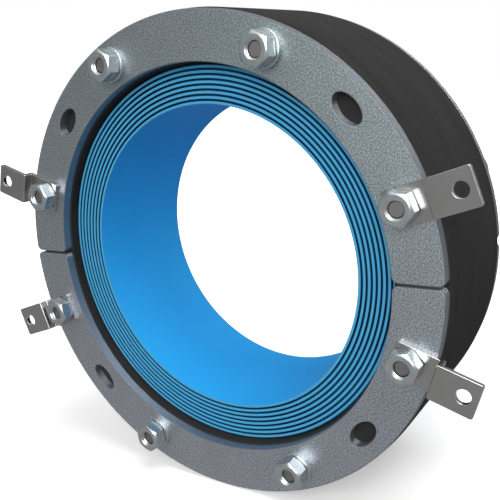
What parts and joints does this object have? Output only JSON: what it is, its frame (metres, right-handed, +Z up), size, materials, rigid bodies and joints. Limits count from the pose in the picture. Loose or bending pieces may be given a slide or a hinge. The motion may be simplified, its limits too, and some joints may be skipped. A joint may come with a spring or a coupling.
{
  "type": "cable transit seal",
  "caption": "Round two-part rubber seal for a cable or pipe through a wall opening, with peelable blue layers, steel compression plates, studs, nuts and fixing brackets.",
  "frame": {"origin": "on the bore axis, in the front face of the front plates", "axes": "+Y runs along the bore from front to back, -Y faces the installer, +Z is up, +X is to the right"},
  "size_m": [0.2546, 0.0978, 0.225],
  "materials": {
    "galvanised_plate": "matt",
    "bracket_steel": "satin",
    "zinc_plated_steel": "bright",
    "black_rubber": "matt",
    "blue_rubber": "satin"
  },
  "bodies": {
    "root": {"front_plate_upper": "galvanised_plate", "front_plate_lower": "galvanised_plate", "rear_plate_upper": "galvanised_plate", "rear_plate_lower": "galvanised_plate", "rubber_body_upper": "black_rubber", "rubber_body_lower": "black_rubber", "peel_layer_1_upper": "blue_rubber", "peel_layer_1_lower": "blue_rubber", "peel_layer_2_upper": "blue_rubber", "peel_layer_2_lower": "blue_rubber", "peel_layer_3_upper": "blue_rubber", "peel_layer_3_lower": "blue_rubber", "peel_layer_4_upper": "blue_rubber", "peel_layer_4_lower": "blue_rubber", "peel_layer_5_upper": "blue_rubber", "peel_layer_5_lower": "blue_rubber", "peel_layer_6_upper": "blue_rubber", "peel_layer_6_lower": "blue_rubber", "peel_layer_7_upper": "blue_rubber", "peel_layer_7_lower": "blue_rubber", "peel_layer_8_upper": "blue_rubber", "peel_layer_8_lower": "blue_rubber", "bracket_right_upper": "bracket_steel", "bracket_right_lower": "bracket_steel", "bracket_left_upper": "bracket_steel", "bracket_left_lower": "bracket_steel", "studs_upper": "zinc_plated_steel", "studs_lower": "zinc_plated_steel", "front_nuts_upper": "zinc_plated_steel", "front_nuts_lower": "zinc_plated_steel", "rear_nuts_upper": "zinc_plated_steel", "rear_nuts_lower": "zinc_plated_steel", "washers_upper": "zinc_plated_steel", "washers_lower": "zinc_plated_steel"}
  },
  "joints": []
}
